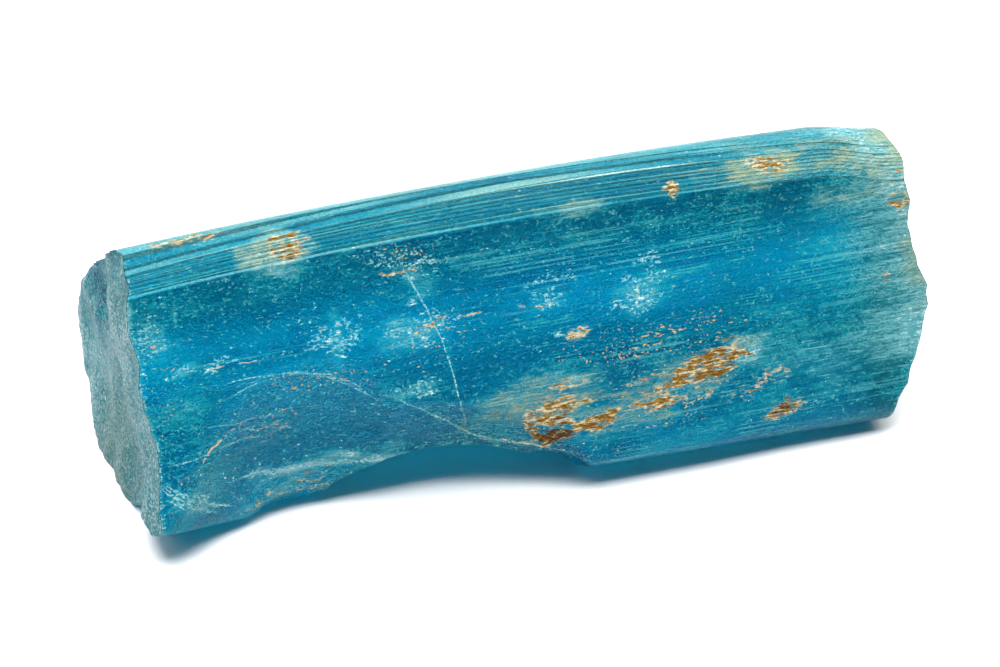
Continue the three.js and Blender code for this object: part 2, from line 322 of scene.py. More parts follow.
def right_break(y, z):
    """X of the right broken end, which is scooped at the foot and stands out halfway up."""
    towards_front = np.clip(1 - (y + 8) / 20, 0.2, 1)
    rim = np.interp(z, RIGHT_RIM_HEIGHTS, RIGHT_RIM_REACH) * towards_front
    waves = 0.22 * np.sin(0.9 * y + 0.5) * np.sin(0.7 * z) + 0.10 * np.sin(2.4 * z + 1.1 * y)
    place = np.stack([y * 0, y, z], -1)
    lumps = 0.12 * field(place, (1, 1.3, 0.8), SEED + 2) + 0.05 * field(place, (1, 0.4, 0.35), SEED + 3)
    return RIGHT_STATION + rim + waves * ease(-7.0, -3.0, y) + lumps


def column_angles(x):
    """Angles of the columns round the axis: the stair's corners, and even steps between."""
    front = (4 * RUN - STAIR_COLUMNS - CREST_COLUMNS - BASE_COLUMNS) // 2
    back = 4 * RUN - STAIR_COLUMNS - CREST_COLUMNS - BASE_COLUMNS - front
    stair_x = x[:, CREST_COLUMNS:CREST_COLUMNS + STAIR_COLUMNS]
    places = np.arange(STAIR_COLUMNS)[None, :, None]
    corners = np.take_along_axis(stair_corners(stair_x), places, -1)[..., 0]

    def steps(start, end, count, first=0, total=None):
        share = (np.arange(count) + first) / (total or count)
        return start + (end - start) * share

    return np.concatenate([
        steps(math.radians(CREST_FROM), corners[:, :1], CREST_COLUMNS),
        corners,
        steps(corners[:, -1:], math.radians(FRONT_TO), front, 1, front + 1),
        steps(math.radians(FRONT_TO), math.radians(BASE_TO), BASE_COLUMNS) + 0 * x[:, :1],
        steps(math.radians(BASE_TO), math.radians(CREST_FROM + 360), back) + 0 * x[:, :1],
    ], 1)


def surface_relief(x, angle, reach, scarred):
    """Small heights on top of the form: splinters where it has split, low growth lines where not."""
    place = np.stack([x, reach * np.cos(angle), reach * np.sin(angle)], -1)
    splinters = 0.07 * field(place, (2.2, 0.7, 0.5), SEED + 4)
    splinters += 0.05 * field(place, (0.9, 0.35, 0.3), SEED + 5)
    lines = 0.018 * field(place, (14.0, 0.8, 0.8), SEED + 6)
    lines += 0.014 * field(place, (7.0, 0.4, 0.4), SEED + 7)
    return lines + (splinters - lines) * scarred


def crystal_side():
    """Points of the prism's side, as rows along it and columns round it, and which are scarred."""
    share = np.linspace(0, 1, ROWS)[:, None] * np.ones((1, 4 * RUN))
    x = LEFT_STATION + (RIGHT_STATION - LEFT_STATION) * share
    for _ in range(SETTLING_PASSES):
        angle = column_angles(x)
        prism = worn_down(x, prism_reach(x, angle))
        reach = prism
        for scar in SCARS.values():
            reach = round_over(reach, scar_reach(scar, x, angle), scar[-1])
        scarred = ease(0.0, 0.25, prism - reach)
        reach = reach + surface_relief(x, angle, reach, scarred)
        down = -np.sin(angle)
        to_flat = np.where(down > 1e-6, AXIS_HEIGHT / np.maximum(down, 1e-6), FAR)
        reach = np.minimum(reach, to_flat)
        y, z = reach * np.cos(angle), AXIS_HEIGHT + reach * np.sin(angle)
        left, right = left_break(y, z), right_break(y, z)
        x = left + (right - left) * share
    return np.stack([x, y, z], -1), scarred


def end_grid(ring, surface):
    """Inner points of a square grid whose border is the ring, lifted onto the broken surface."""
    step = np.arange(1, RUN) / RUN
    u, v = np.meshgrid(step, step, indexing="ij")
    u, v = u[..., None], v[..., None]
    low, right, high = [ring[i * RUN:(i + 1) * RUN + 1] for i in range(3)]
    left = np.vstack([ring[3 * RUN:], ring[:1]])[::-1]
    high = high[::-1]
    grid = np.zeros((RUN + 1, RUN + 1, 3))
    grid[:, 0], grid[:, -1], grid[0], grid[-1] = low, high, left, right
    grid[1:-1, 1:-1] = ((1 - v) * low[1:-1][:, None] + v * high[1:-1][:, None]
                        + (1 - u) * left[1:-1][None] + u * right[1:-1][None]
                        - (1 - u) * (1 - v) * low[0] - u * (1 - v) * low[-1]
                        - (1 - u) * v * high[0] - u * v * high[-1])
    for _ in range(EVENING_PASSES):
        grid[1:-1, 1:-1] = (grid[:-2, 1:-1] + grid[2:, 1:-1] + grid[1:-1, :-2] + grid[1:-1, 2:]) / 4
    y, z = grid[1:-1, 1:-1, 1], grid[1:-1, 1:-1, 2]
    return np.stack([surface(y, z), y, z], -1)


def end_faces(first, ring_row, outward):
    """Quads of an end's grid. The grid's inner points start at first, its border at ring_row."""
    index = np.empty((RUN + 1, RUN + 1), int)
    index[1:-1, 1:-1] = first + np.arange((RUN - 1) ** 2).reshape(RUN - 1, RUN - 1)
    ring = ring_row + np.arange(4 * RUN)
    index[:, 0] = ring[:RUN + 1]
    index[-1, :] = ring[RUN:2 * RUN + 1]
    index[::-1, -1] = ring[2 * RUN:3 * RUN + 1]
    index[0, ::-1] = np.append(ring[3 * RUN:], ring[0])
    quads = np.stack([index[:-1, :-1], index[1:, :-1], index[1:, 1:], index[:-1, 1:]], -1).reshape(-1, 4)
    return quads if outward else quads[:, ::-1]


def side_faces():
    """Quads of the prism's side, wound so that they face outward."""
    row = np.arange(ROWS - 1)[:, None] * 4 * RUN
    column = np.arange(4 * RUN)[None]
    following = (column + 1) % (4 * RUN)
    quads = [row + column, row + following, row + 4 * RUN + following, row + 4 * RUN + column]
    return np.stack(quads, -1).reshape(-1, 4)


def crystal_mesh():
    """The crystal's points in millimetres, its faces, and how far each point is scarred."""
    side, scarred = crystal_side()
    ends = [end_grid(side[0], left_break), end_grid(side[-1], right_break)]
    inner = (RUN - 1) ** 2
    points = np.vstack([side.reshape(-1, 3)] + [end.reshape(-1, 3) for end in ends])
    start = ROWS * 4 * RUN
    faces = np.vstack([side_faces(), end_faces(start, 0, False),
                       end_faces(start + inner, start - 4 * RUN, True)])
    broken = np.concatenate([scarred.ravel(), np.ones(2 * inner)])
    return points, faces, broken


# ---------------------------------------------------------------------------------------------
# Marks: where the stone is milky, stained, tinted or darker, and where light and shade are painted, as a
# value at every point
# ---------------------------------------------------------------------------------------------

# Each mark: place on the surface (x, y, z), half length along the prism, half width across it,
# how far it climbs for each millimetre along, and its strength.
# Milky haze, and on the bevel along the spall's foot a painted highlight.
MILK_AND_GLINT_MARKS = (
    ((15.5, -5.8, 7.0), 4.0, 1.6, 0.0, 0.30),         # haze left of the right end
    ((22.8, -1.0, 15.0), 6.0, 2.4, 0.0, 1.00),        # right end of the crest
    ((17.5, -6.6, 5.4), 5.0, 1.7, 0.10, 0.50),        # cloudy ground low on the right
    ((8.5, -8.6, 2.4), 6.0, 0.5, 0.10, 0.36),         # pale dashes above the low edge
    ((7.5, -7.0, 4.9), 8.0, 1.4, 0.20, 0.65),         # ground of the big stains
    ((0.5, -6.7, 5.5), 4.4, 1.5, 0.12, 0.70),
    ((1.4, -7.0, 5.1), 2.2, 0.8, 0.10, 0.95),         # cream patches by the spall's edge
    ((2.6, -6.3, 6.5), 1.7, 0.45, 0.15, 0.90),
    ((-2.0, -2.8, 13.7), 24.0, 0.9, 0.0, 0.18),       # streaks under the lowest ledge
    ((12.9, -6.3, 6.3), 1.2, 0.8, 0.0, 0.90),         # round the pit
    ((7.1, -4.6, 10.0), 1.9, 1.2, 0.30, 0.55),        # wispy patch
    ((2.0, -4.2, 10.6), 1.6, 1.0, 0.00, 0.35),
    ((-6.0, -4.3, 10.4), 1.9, 1.1, 0.05, 0.55),
    ((-6.3, -5.8, 7.5), 1.5, 0.4, 0.15, 0.60),        # bright patch beside the spall
    ((-5.4, -3.0, 13.2), 1.6, 0.9, -0.45, 0.60),      # veil where it meets the crest
    ((-10.1, -4.3, 10.8), 0.40, 2.3, 0.0, 0.45),      # upright bands of haze
    ((-18.7, -3.0, 13.3), 0.14, 1.7, 0.0, 0.70),
    ((-4.0, -4.8, 9.6), 0.25, 4.5, 0.0, 0.28),
    ((-12.3, -1.5, 15.6), 2.6, 1.4, 0.05, 1.00),      # milky ground on the crest, left
    ((15.0, -1.5, 15.6), 3.6, 1.1, 0.05, 0.95),       # milky ground on the crest, right
    ((4.5, -1.8, 15.4), 1.8, 0.5, 0.0, 0.80),
    ((-20.0, -3.5, 12.4), 1.0, 1.5, 0.0, 0.60),       # chipped left edge
    ((-21.4, -3.0, 14.0), 0.5, 1.0, 0.0, 0.80),       # pale band at the left end's front border
    ((-18.7, -4.6, 10.6), 1.2, 0.5, 0.3, 0.60),
    ((-18.8, -5.8, 8.6), 2.2, 1.5, 0.0, 0.45),
    ((-18.4, -7.0, 3.8), 2.4, 1.2, 0.0, 0.55),        # left foot
    ((-13.8, -5.4, 2.0), 3.0, 0.8, 0.0, 0.70),        # foot under the spall
    # The next two marks are a painted highlight: the bevel along the spall's foot is made bright as if
    # it caught the light.
    ((-8.6, -5.7, 3.0), 2.6, 0.40, 0.0, 1.10),        # bright bevel along the spall's foot
    ((-12.5, -5.3, 2.9), 3.4, 0.28, 0.0, 1.00),
    ((4.0, 7.0, 11.0), 9.0, 3.0, 0.0, 0.45),          # back
    ((-14.0, 8.0, 6.0), 5.0, 3.0, 0.0, 0.5),
    ((17.0, 7.5, 7.0), 5.0, 3.5, 0.0, 0.55),
)
RUST_MARKS = (
    ((11.0, -6.5, 6.1), 2.0, 0.9, 0.25, 1.00),        # big orange-brown stain
    ((8.9, -6.7, 5.6), 1.6, 0.6, 0.25, 0.95),
    ((7.0, -6.5, 5.9), 1.7, 0.16, 0.12, 0.80),        # thin streak off its upper side
    ((8.2, -7.2, 4.6), 2.6, 0.30, 0.05, 0.90),        # streak below it
    ((5.6, -7.3, 4.6), 1.6, 0.20, 0.00, 0.80),
    ((4.1, -7.4, 4.3), 1.2, 0.50, 0.10, 0.98),
    ((1.6, -7.5, 3.9), 1.8, 0.95, 0.05, 1.25),        # brown pocket at the spall's edge
    ((1.6, -6.95, 5.25), 1.7, 0.55, 0.05, 0.80),      # cream crust
    ((2.7, -6.3, 6.45), 1.4, 0.30, 0.10, 0.70),
    ((13.6, -7.2, 4.5), 2.0, 0.50, 0.10, 0.52),
    ((14.8, -7.9, 3.2), 1.3, 0.55, 0.25, 1.00),       # dark red-brown spot
    ((9.8, -1.5, 15.3), 1.0, 0.50, 0.20, 0.95),       # spots on the crest
    ((15.4, -1.2, 15.4), 1.5, 0.50, 0.0, 0.85),
    ((-11.9, -1.6, 15.1), 1.5, 0.80, 0.0, 0.75),
    ((-12.2, -0.9, 15.8), 1.0, 0.30, 0.0, 0.85),
    ((1.7, -4.3, 10.5), 1.5, 0.20, -0.15, 0.90),      # orange streaks
    ((3.3, -5.2, 8.8), 1.0, 0.35, 0.15, 0.80),
    ((-2.6, -4.2, 10.75), 1.1, 0.14, 0.0, 0.80),
    ((-5.9, -2.9, 13.6), 1.4, 0.22, 0.0, 0.75),
    ((-4.9, -4.3, 10.6), 0.9, 0.30, 0.3, 0.65),
    ((-10.7, -3.9, 11.4), 0.5, 0.12, 0.3, 0.60),
    ((22.9, -3.0, 12.7), 0.8, 1.2, 0.0, 0.72),        # right rim
    ((21.7, -5.0, 8.6), 0.5, 0.35, 0.0, 0.66),
    ((-17.4, 0.0, 15.9), 2.4, 0.35, 0.0, 0.65),       # behind the left crest
    ((-14.2, -5.5, 5.9), 1.6, 0.55, 0.25, 0.42),
    ((-12.0, -5.6, 1.6), 1.2, 0.55, 0.0, 0.62),
    ((-15.2, -5.9, 1.2), 1.6, 0.30, 0.0, 0.50),
    ((6.0, 8.0, 8.0), 2.6, 0.7, 0.1, 0.80),           # back
    ((-6.0, 7.4, 12.0), 1.8, 0.5, -0.1, 0.70),
    ((-13.5, 8.2, 3.6), 2.4, 0.8, 0.1, 0.80),
    ((15.5, 8.0, 5.0), 1.6, 0.6, 0.0, 0.65),
)
DARK_MARKS = (
    ((1.5, -7.55, 3.8), 1.5, 0.75, 0.10, 1.15),
    ((14.6, -7.9, 3.1), 1.0, 0.35, 0.25, 1.0),
    ((11.8, -6.4, 6.4), 1.2, 0.3, 0.20, 0.45),
    ((13.05, -6.3, 6.2), 0.16, 0.16, 0.0, 1.0),
)
DEEP_MARKS = (
    ((-14.0, -4.0, 11.6), 6.5, 2.6, 0.05, 1.0),       # deep blue zone, left
    ((0.5, -3.8, 11.3), 7.5, 2.6, 0.05, 1.0),         # deep blue zone, middle
    ((2.0, -5.0, 8.8), 6.0, 1.4, 0.05, 0.7),
    ((-6.0, -6.0, 5.5), 6.0, 1.4, 0.0, 0.7),          # along the spall's foot
    ((-10.5, -5.2, 7.2), 3.2, 1.2, 0.0, 0.8),
    ((7.0, -8.4, 2.6), 8.0, 1.0, 0.1, 0.9),           # low edge
    ((14.0, -8.2, 2.3), 6.0, 1.0, 0.1, 0.8),
    ((-7.0, -3.2, 12.7), 3.0, 1.1, 0.05, 0.8),        # band under the lowest ledge
    ((3.5, -3.1, 12.8), 6.0, 1.1, 0.05, 0.8),
    ((11.0, -3.7, 11.3), 4.0, 1.3, 0.0, 0.5),
    ((0.0, 8.0, 10.0), 9.0, 3.0, 0.0, 0.8),           # back
    ((-17.5, 0.8, 16.0), 5.5, 1.2, 0.0, 1.0),         # behind the left crest
    ((-13.0, -1.6, 15.2), 10.0, 1.2, 0.0, 0.85),      # between the ledges
    # The last three marks are painted shade: they darken the set-back block at the top of the left end
    # and the part of that end that the lamps above light most.
    ((-21.6, 4.6, 10.8), 0.6, 1.6, 0.0, 1.0),         # set-back block at the top of the left end
    ((-22.0, 3.6, 8.0), 0.8, 2.4, 0.0, 0.6),
    ((-21.4, 1.2, 12.5), 0.6, 0.7, 0.0, 1.0),
)
GREEN_MARKS = (
    ((5.5, -7.0, 5.0), 9.0, 2.0, 0.16, 1.0),          # greener ground round the stains
    ((24.0, 0.5, 14.6), 2.8, 3.0, 0.0, 1.0),          # yellow-green right rim
    ((0.0, -1.2, 15.8), 26.0, 1.8, 0.0, 0.55),        # crest
    ((24.5, -4.0, 10.0), 2.0, 4.0, 0.0, 0.6),
    ((-12.8, -5.2, 1.1), 4.8, 0.6, 0.0, 1.0),         # foot under the spall
    ((0.0, -6.7, 5.4), 5.0, 1.6, 0.12, 1.0),
    ((-13.0, -1.4, 15.4), 3.4, 1.4, 0.0, 0.7),
    ((9.0, -1.4, 15.7), 5.0, 1.2, 0.0, 0.7),
    ((16.0, -1.6, 15.3), 8.0, 1.9, 0.0, 1.00),
    ((-22.0, 0.0, 3.0), 2.0, 4.0, 0.0, 0.6),          # foot of the left end
)
DUST_MARKS = (
    ((9.0, -5.7, 7.7), 7.5, 0.9, 0.02, 1.0),          # rows of tan dots in the growth lines
    ((8.0, -5.25, 8.45), 5.5, 0.4, 0.0, 0.8),
    ((7.0, -7.0, 4.8), 6.5, 1.6, 0.12, 0.8),
    ((-11.0, -5.2, 8.9), 6.0, 0.9, 0.05, 0.7),        # grit along the spall's upper edge
    ((-15.0, -5.6, 6.2), 3.0, 1.2, 0.0, 0.5),
    ((-19.8, -5.5, 8.0), 1.0, 6.0, 0.0, 0.6),
    ((-20.3, -3.9, 12.2), 1.2, 1.6, 0.0, 1.0),
    ((-21.4, -3.2, 13.8), 0.6, 1.6, 0.0, 1.0),
    ((-6.0, -2.2, 14.2), 3.0, 0.7, 0.0, 0.8),
    ((-22.0, -1.5, 8.0), 1.2, 5.0, 0.0, 0.6),         # left end
    ((-12.0, -5.0, 1.6), 6.0, 0.9, 0.0, 0.6),
    ((-5.0, -4.5, 10.0), 3.5, 1.6, 0.0, 0.6),
    ((0.0, 7.8, 9.0), 16.0, 3.0, 0.0, 0.5),           # back
)
CHALK_MARKS = (
    ((-15.2, -5.4, 6.7), 1.3, 0.4, 0.3, 0.9),         # feathery patch in the spall
    ((-9.8, -4.4, 10.7), 1.6, 0.9, 0.2, 1.0),         # clusters of white grains
    ((-16.8, -4.5, 10.6), 0.9, 0.5, 0.2, 0.9),
    ((-5.6, -4.3, 10.4), 2.2, 1.3, 0.0, 0.9),
    ((-6.3, -5.8, 7.6), 1.6, 0.5, 0.1, 1.0),
    ((1.9, -4.0, 11.0), 1.6, 0.9, 0.0, 1.0),
    ((7.1, -4.5, 10.1), 2.0, 1.3, 0.3, 1.0),
    ((8.2, -3.4, 12.0), 0.8, 0.6, 0.0, 0.8),
    ((13.0, -6.2, 6.4), 0.7, 0.5, 0.0, 0.9),
    ((-20.2, -3.7, 12.4), 1.0, 1.4, 0.0, 0.6),
    ((-18.8, -4.6, 10.8), 1.0, 0.6, 0.4, 0.9),
    ((-17.4, -4.6, 10.5), 0.25, 0.18, 0.0, 2.0),      # single bright flecks
    ((-17.1, -4.7, 10.3), 0.18, 0.22, 0.0, 2.0),
    ((-15.8, -4.5, 10.7), 0.22, 0.12, 0.2, 2.0),
    ((-10.4, -4.4, 10.9), 0.30, 0.25, 0.5, 2.0),
    ((-10.0, -4.2, 11.4), 0.18, 0.30, 0.0, 2.0),
    ((-5.6, -6.0, 7.3), 0.55, 0.16, 0.2, 2.0),
    ((-21.2, -5.2, 8.0), 0.6, 8.0, 0.0, 0.5),         # along the left end's front border
    ((-22.2, -0.5, 9.0), 1.2, 6.0, 0.0, 0.45),        # left end
    ((-18.8, -7.1, 3.6), 1.6, 0.6, -0.3, 0.6),
    ((-15.0, -5.5, 4.6), 5.0, 2.0, 0.0, 0.30),
    ((3.0, -5.2, 8.9), 0.8, 0.4, 0.1, 0.8),
    ((-5.0, -2.9, 13.6), 2.4, 0.8, -0.3, 0.8),
    ((5.0, 7.8, 9.5), 3.0, 1.5, 0.0, 0.7),            # back
)

# Fine lines on the stone: half width, then the points they run through.
PALE_LINES = (
    # Borders of the front spall: its upper lobe, and on down to the stained pocket.
    (0.04, ((-16.2, -4.9, 9.6), (-14.5, -4.85, 9.65), (-12.4, -4.8, 9.45), (-10.5, -5.05, 8.7),
            (-9.2, -5.4, 7.75), (-8.3, -5.6, 7.2))),
    (0.04, ((-16.3, -5.25, 8.9), (-14.5, -4.95, 9.35), (-12.6, -4.85, 9.4), (-10.8, -4.95, 9.05),
            (-9.6, -5.2, 8.4), (-8.9, -5.45, 7.65))),
    (0.07, ((-7.2, -5.9, 7.15), (-6.5, -6.1, 6.7), (-5.55, -6.05, 5.9), (-4.6, -6.15, 5.3),
            (-3.9, -6.2, 4.55), (-3.1, -6.3, 4.0), (-2.1, -6.5, 3.6), (-1.3, -6.7, 3.35),
            (-0.25, -7.0, 3.2), (0.75, -7.35, 3.0))),
    # A painted highlight along the bevel above the left foot, and scratches on the foot.
    (0.20, ((-15.65, -5.7, 3.45), (-14.2, -5.35, 3.1), (-12.7, -5.2, 2.95), (-11.0, -5.25, 2.8),
            (-9.4, -5.55, 2.9), (-7.5, -5.8, 3.0))),
    (0.10, ((-20.4, -7.5, 4.7), (-19.4, -7.6, 4.1), (-18.2, -6.95, 3.1), (-17.2, -6.5, 2.35))),
    (0.10, ((-20.2, -7.75, 4.2), (-19.15, -7.6, 3.45), (-17.95, -6.95, 2.5))),
    (0.08, ((-20.2, -7.35, 4.95), (-19.6, -7.5, 4.55), (-18.4, -7.05, 3.7))),
    (0.07, ((-19.8, -6.8, 6.1), (-17.2, -6.0, 6.2), (-14.9, -5.4, 5.8))),
    (0.04, ((-17.7, -6.0, 7.6), (-15.2, -5.4, 7.2), (-13.3, -5.1, 6.8))),
    # The vein that crosses the front face.
    (0.05, ((-5.75, -2.95, 13.2), (-5.35, -3.4, 12.3), (-4.9, -3.85, 11.4), (-4.6, -4.3, 10.5),
            (-4.3, -4.75, 9.6), (-4.05, -5.25, 8.65), (-3.9, -5.8, 7.6), (-3.75, -6.3, 6.6),
            (-3.5, -6.25, 5.0))),
)
STAINED_LINES = (
    (0.04, ((-17.5, -4.4, 10.4), (-15.0, -4.5, 10.4), (-12.0, -4.4, 10.6))),
    (0.08, ((-18.1, -6.55, 5.95), (-17.65, -6.3, 6.4), (-17.0, -6.0, 6.8), (-16.5, -5.8, 6.95))),
    (0.05, ((-2.1, -6.5, 3.6), (-0.25, -7.0, 3.2), (0.75, -7.35, 3.0))),
    (0.04, ((-14.4, -5.2, 7.0), (-13.0, -5.2, 7.2), (-11.6, -5.3, 6.9))),
)


def clouded(points, size, seed):
    """Cloudy value, evenly from 0 to 1, at each point, with lumps of the given size."""
    total = field(points, size, seed)
    for octave in (1, 2):
        finer = np.array(size) / 2 ** octave
        total = total + 0.6 ** octave * field(points, finer, seed + octave)
    return ease(-0.65, 0.65, total)


def painted(points, marks, seed, raggedness=0.3):
    """Value from 0 to 1 at each point from soft-edged, ragged marks on the surface."""
    ragged = field(points, (1.8, 0.7, 0.7), seed) + 0.7 * field(points, (0.7, 0.3, 0.3), seed + 1)
    value = np.zeros(len(points))
    for (x, y, z), length, width, climb, strength in marks:
        spoke = math.atan2(z - AXIS_HEIGHT, y)
        dx = points[:, 0] - x
        dy, dz = points[:, 1] - y, points[:, 2] - z
        across = math.sin(spoke) * dy - math.cos(spoke) * dz - climb * dx
        deep = math.cos(spoke) * dy + math.sin(spoke) * dz
        away = np.sqrt((dx / length) ** 2 + (across / width) ** 2 + (deep / (width + 2)) ** 2)
        value = np.maximum(value, strength * (1 - ease(0.30, 1.35, away + raggedness * ragged)))
    return value


def right_end_haze(points):
    """The milkiness that thickens towards the worn right end, except along the low edge."""
    ragged = field(points, (4.5, 0.5, 0.5), 33) + 0.5 * field(points, (2.0, 0.3, 0.3), 34)
    along_prism = ease(14.5, 24.5, points[:, 0] + 1.3 * ragged)
    above_edge = 0.1 + 0.9 * ease(2.5, 5.5, points[:, 2])
    return 0.95 * along_prism * above_edge


def ruled(points, lines, seed):
    """Signed distance from each point to the nearest line, in that line's half widths."""
    wander = 0.10 * field(points, (0.9, 0.9, 0.9), seed)
    nearest = np.full(len(points), FAR)
    for half_width, stops in lines:
        for start, end in zip(np.array(stops[:-1]), np.array(stops[1:])):
            run = end - start
            share = np.clip((points - start) @ run / (run @ run), 0, 1)
            away = points - start - share[:, None] * run
            spoke = (start + end) / 2 * (0, 1, 1) - (0, 0, AXIS_HEIGHT)
            side = np.sign(away @ np.cross(run, spoke))
            distance = (side * np.sqrt((away ** 2).sum(-1)) + wander) / half_width
            nearest = np.where(np.abs(distance) < np.abs(nearest), distance, nearest)
    return nearest


# How pale the crest's strips are, where 1 is fully pale; the risers' paleness is painted light that
# lifts the shade at their feet.
REAR_PALENESS, CREST_PALENESS, RISER_PAINTED_LIGHT, WORN_PALENESS = 0.10, 0.75, 0.65, 0.60


def ledge_paleness():
    """How pale each face is: the crest and the treads are paler, and the risers are painted lighter,
    painted light that lifts the shade at their feet.
    """
    rng = np.random.default_rng(SEED + 8)
    paleness = np.zeros((ROWS - 1, 4 * RUN))
    run = np.arange(ROWS - 1)
    rear_width = REAR_STRIP * ease(0.22, 0.0, run / ROWS)[:, None]
    rear = np.linspace(0, 1, CREST_COLUMNS)[None] < rear_width
    paleness[:, :CREST_COLUMNS] = np.where(rear, REAR_PALENESS, CREST_PALENESS)
    stair_end = CREST_COLUMNS + STAIR_COLUMNS - 1
    share = np.linspace(1.0, 0.6, stair_end - CREST_COLUMNS)
    # The risers are painted paler: painted light that lifts the shade in the corners at their feet.
    paleness[:, CREST_COLUMNS:stair_end] = RISER_PAINTED_LIGHT * share
    for tread in range(CREST_COLUMNS + 1, stair_end, 2):
        drift, start = rng.uniform(0.02, 0.07), rng.uniform(0, 2 * math.pi)
        ledge_pale_variation = rng.uniform(0.15, 1.20) + 0.3 * np.sin(run * drift + start)
        paleness[:, tread] = np.clip(ledge_pale_variation, 0, 1.2) * share[tread - CREST_COLUMNS]
    level = ease(0.66, 0.86, run / ROWS)[:, None]
    paleness[:, :stair_end] += (WORN_PALENESS - paleness[:, :stair_end]) * level
    return np.append(paleness.ravel(), np.zeros(2 * RUN * RUN))


def make_crystal():
    """The crystal's mesh, centred on the model's box, with its marks stored at its points."""
    points, faces, broken = crystal_mesh()
    own_middle = (points.min(0) + points.max(0)) / 2
    box_middle = np.array((cad_box[0] + cad_box[1]) / 2) / MM
    shift = np.array([box_middle[0] - own_middle[0], box_middle[1] - own_middle[1], 0])
    mesh = bpy.data.meshes.new("crystal_surface")
    mesh.from_pydata(((points + shift) * MM).tolist(), [], faces.tolist())
    mesh.shade_smooth()
    mesh.set_sharp_from_angle(angle=math.radians(28))
    to_end = np.minimum(points[:, 0] - left_break(points[:, 1], points[:, 2]),
                        right_break(points[:, 1], points[:, 2]) - points[:, 0])
    layers = {
        "broken": broken,
        "milk": np.maximum(painted(points, MILK_AND_GLINT_MARKS, 31, 0.45), right_end_haze(points)),
        "rust": painted(points, RUST_MARKS, 41, 0.6),
        "dark": painted(points, DARK_MARKS, 43, 0.5),
        "deep": painted(points, DEEP_MARKS, 51),
        "green": painted(points, GREEN_MARKS, 61),
        "dust": painted(points, DUST_MARKS, 71),
        "chalk": painted(points, CHALK_MARKS, 81, 0.7),
        "pale_lines": ruled(points, PALE_LINES, 91),
        "stained_lines": ruled(points, STAINED_LINES, 93),
        "to_end": to_end,
        "bands": clouded(points, (16.0, 0.9, 0.9), 101),
        "mottle": clouded(points, (2.6, 1.5, 1.5), 111),
    }
    for name, values in layers.items():
        layer = mesh.attributes.new(name, "FLOAT", "POINT")
        layer.data.foreach_set("value", values.astype(np.float32))
    ledges = mesh.attributes.new("ledge", "FLOAT", "FACE")
    ledges.data.foreach_set("value", ledge_paleness().astype(np.float32))
    crystal = bpy.data.objects.new("tourmaline", mesh)
    bpy.context.collection.objects.link(crystal)
    return crystal, -shift


# ---------------------------------------------------------------------------------------------
# Shaders as expressions
# ---------------------------------------------------------------------------------------------

class Value:
    """A node's output. Arithmetic on values adds Math nodes."""

    def __init__(self, shader, socket):
        self.shader, self.socket = shader, socket

    def maths(self, operation, *numbers):
        return self.shader.node("Math", {"operation": operation}, dict(enumerate(numbers)))

    def __add__(self, other):
        return self.maths("ADD", self, other)

    def __sub__(self, other):
        return self.maths("SUBTRACT", self, other)

    def __rsub__(self, other):
        return self.maths("SUBTRACT", other, self)

    def __mul__(self, other):
        return self.maths("MULTIPLY", self, other)

    def __abs__(self):
        return self.maths("ABSOLUTE", self)

    def either(self, other):
        return self.maths("MAXIMUM", self, other)

    __radd__ = __add__
    __rmul__ = __mul__


class Shader:
    """The nodes of a material or of the world, built from calls and expressions."""

    def __init__(self, owner):
        self.owner = owner
        owner.use_nodes = True
        self.tree = owner.node_tree
        self.tree.nodes.clear()

    def node(self, kind, settings, sockets, output=0):
        """Adds a node. Its settings come first, then the values or links of its sockets."""
        made = self.tree.nodes.new("ShaderNode" + kind)
        for name, setting in settings.items():
            setattr(made, name, setting)
        for name, value in sockets.items():
            if isinstance(value, Value):
                self.tree.links.new(value.socket, made.inputs[name])
            else:
                made.inputs[name].default_value = value
        return Value(self, made.outputs[output]) if made.outputs else None

    def scaled(self, vector, scale, shift=(0, 0, 0)):
        """A vector times a scale plus a shift, each along X, Y and Z."""
        sockets = {0: vector, 1: tuple(scale), 2: tuple(shift)}
        return self.node("VectorMath", {"operation": "MULTIPLY_ADD"}, sockets)

    def parts(self, vector):
        """X, Y and Z of a vector, as three values."""
        split = self.node("SeparateXYZ", {}, {"Vector": vector})
        return [Value(self, output) for output in split.socket.node.outputs]

    def layer(self, name):
        """One of the marks stored at the crystal's points."""
        return self.node("Attribute", {"attribute_name": name}, {}, "Fac")

    def fade(self, value, low, high):
        """0 at low, 1 at high and smooth between. Low may be the larger of the two."""
        limits = {"Value": value, "From Min": low, "From Max": high}
        return self.node("MapRange", {"interpolation_type": "SMOOTHSTEP"}, limits)

    def cloud(self, place, size, seed, detail, roughness):
        """Cloudy value, evenly from 0 to 1, whose lumps have the given size along X, Y and Z."""
        at = self.scaled(place, [1 / s for s in size], (seed, 1.7 * seed, 0.6 * seed))
        noise = self.node("TexNoise", {}, {
            "Vector": at, "Scale": 1.0, "Detail": detail, "Roughness": roughness})
        return self.fade(noise, 0.30, 0.70)

    def mix(self, share, first, second):
        """First colour where share is 0, second where it is 1."""
        return self.node("Mix", {"data_type": "RGBA"}, {0: share, 6: first, 7: second}, 2)

    def bump(self, height, depth):
        """Normal for a surface whose height goes from 0 to the depth, in millimetres."""
        return self.node("Bump", {}, {"Height": height, "Distance": depth * MM, "Strength": 1.0})


# ---------------------------------------------------------------------------------------------
# Finishes
# ---------------------------------------------------------------------------------------------

